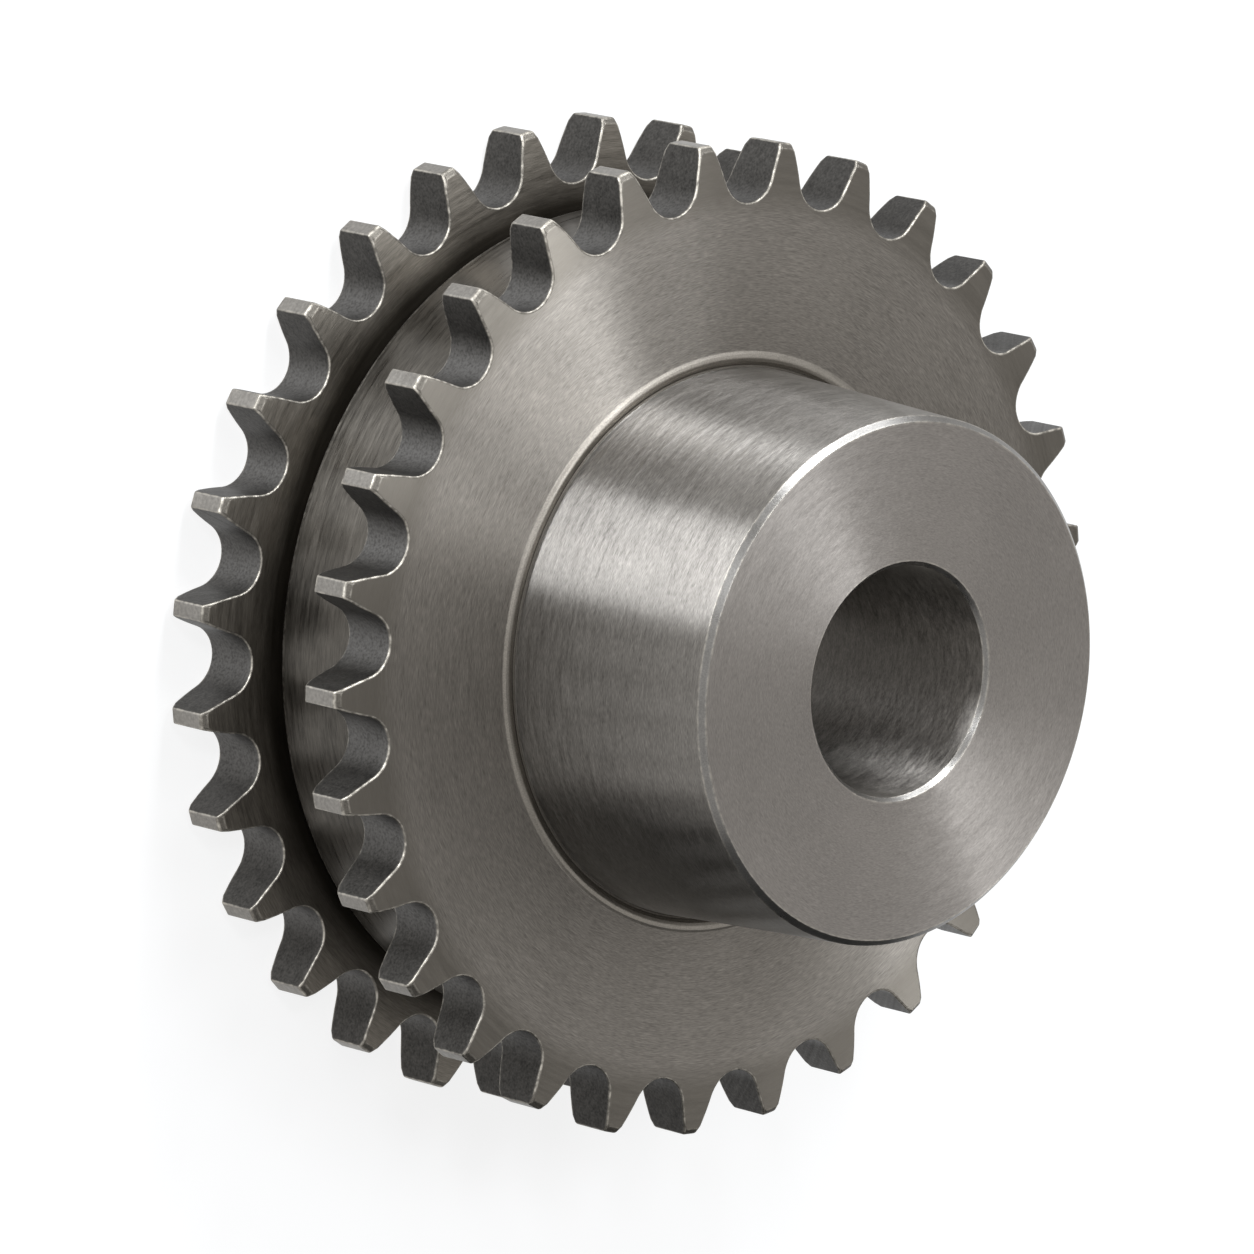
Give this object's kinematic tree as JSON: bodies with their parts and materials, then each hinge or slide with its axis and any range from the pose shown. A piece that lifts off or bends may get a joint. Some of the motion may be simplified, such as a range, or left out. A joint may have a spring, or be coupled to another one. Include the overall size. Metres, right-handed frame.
{
  "type": "double chain sprocket",
  "caption": "Steel chain sprocket with two spaced rows of teeth on one drum, a tapered hub on one side and a plain through bore.",
  "frame": {"origin": "on the bore axis, at the flat back face of the rear row of teeth, which is what the part rests on", "axes": "+Z along the bore axis, from the flat back towards the hub's end; +X runs through a tooth gap of the front row"},
  "size_m": [0.1866, 0.1864, 0.0978],
  "materials": {
    "steel": "turned faces with fine rings, darker hobbed tooth flanks, bright worn edges"
  },
  "bodies": {
    "root": {"sprocket": "steel"}
  },
  "joints": []
}
